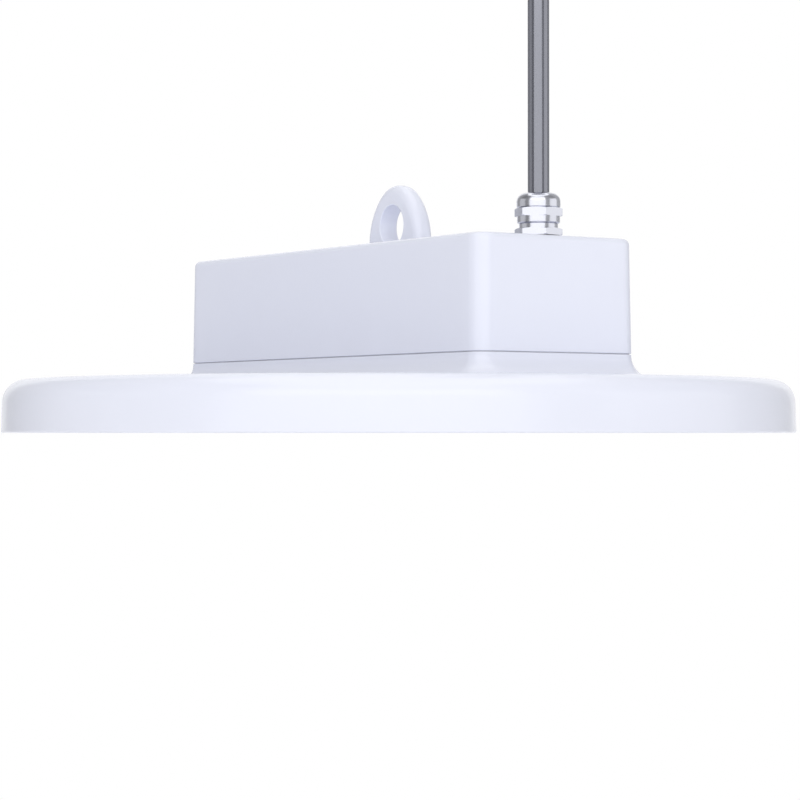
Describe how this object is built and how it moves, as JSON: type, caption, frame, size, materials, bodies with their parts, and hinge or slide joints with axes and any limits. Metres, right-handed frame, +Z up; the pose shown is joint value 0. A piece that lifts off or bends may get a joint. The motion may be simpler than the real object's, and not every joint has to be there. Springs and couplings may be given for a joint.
{
  "type": "high bay light",
  "caption": "Slim round LED high bay light: white cast disc with a driver box on top, a hanging eye, a cable gland with its supply cable, and domed lenses underneath.",
  "frame": {"origin": "centre of the rim's bottom plane, which the light rests on when it is set down", "axes": "+Z up to the ceiling; +X along the driver box towards its cable gland; +Y across the driver box, along the eye's hole"},
  "size_m": [0.34, 0.34, 0.208],
  "materials": {
    "white_paint": "smooth satin powder coat, white with a cool tint",
    "nickel": "bright nickel plate on brass",
    "stainless": "plain stainless steel screws",
    "black_rubber": "matte black rubber",
    "grey_silicone": "matte grey silicone",
    "cable_sheath": "smooth dark grey cable sheath",
    "black_nylon": "matte black nylon",
    "block_plastic": "matte off-white nylon",
    "ceiling_plastic": "white moulded plastic",
    "clear_lens": "clear moulded polycarbonate",
    "board_mask": "white solder mask on aluminium",
    "led_phosphor": "yellow phosphor under clear silicone",
    "driver_case": "plain anodised aluminium",
    "core_brown": "brown core insulation",
    "core_blue": "blue core insulation",
    "core_green_yellow": "green core insulation with a yellow stripe",
    "lead_red": "red silicone insulation",
    "lead_black": "black silicone insulation",
    "tinned_copper": "tin plate on copper"
  },
  "bodies": {
    "root": {"ceiling_base": "ceiling_plastic", "ceiling_cover": "ceiling_plastic", "ceiling_cord_grip": "ceiling_plastic", "supply_cable": "cable_sheath", "gland_dome_nut": "nickel", "gland_body": "nickel", "gland_lock_nut": "nickel", "gland_seal": "black_rubber", "gland_clamping_cage": "black_nylon", "gland_washer": "black_rubber", "hanging_eye": "white_paint", "hanging_eye_screws": "stainless", "driver_cover": "white_paint", "cover_screws": "stainless", "cover_gasket": "grey_silicone", "mains_core_live": "core_brown", "mains_core_neutral": "core_blue", "mains_core_earth": "core_green_yellow", "terminal_block": "block_plastic", "terminal_block_screws": "stainless", "input_lead_live": "core_brown", "input_lead_neutral": "core_blue", "earth_lead": "core_green_yellow", "earth_tag": "tinned_copper", "earth_screw": "stainless", "led_driver": "driver_case", "driver_screws": "stainless", "output_lead_positive": "lead_red", "output_lead_negative": "lead_black", "wire_grommet": "grey_silicone", "heat_sink_housing": "white_paint", "thermal_pad": "grey_silicone", "led_board": "board_mask", "board_screws": "stainless", "led_packages": "led_phosphor", "lens_gasket": "grey_silicone", "lens_plate": "clear_lens", "lens_screws": "stainless"}
  },
  "joints": []
}
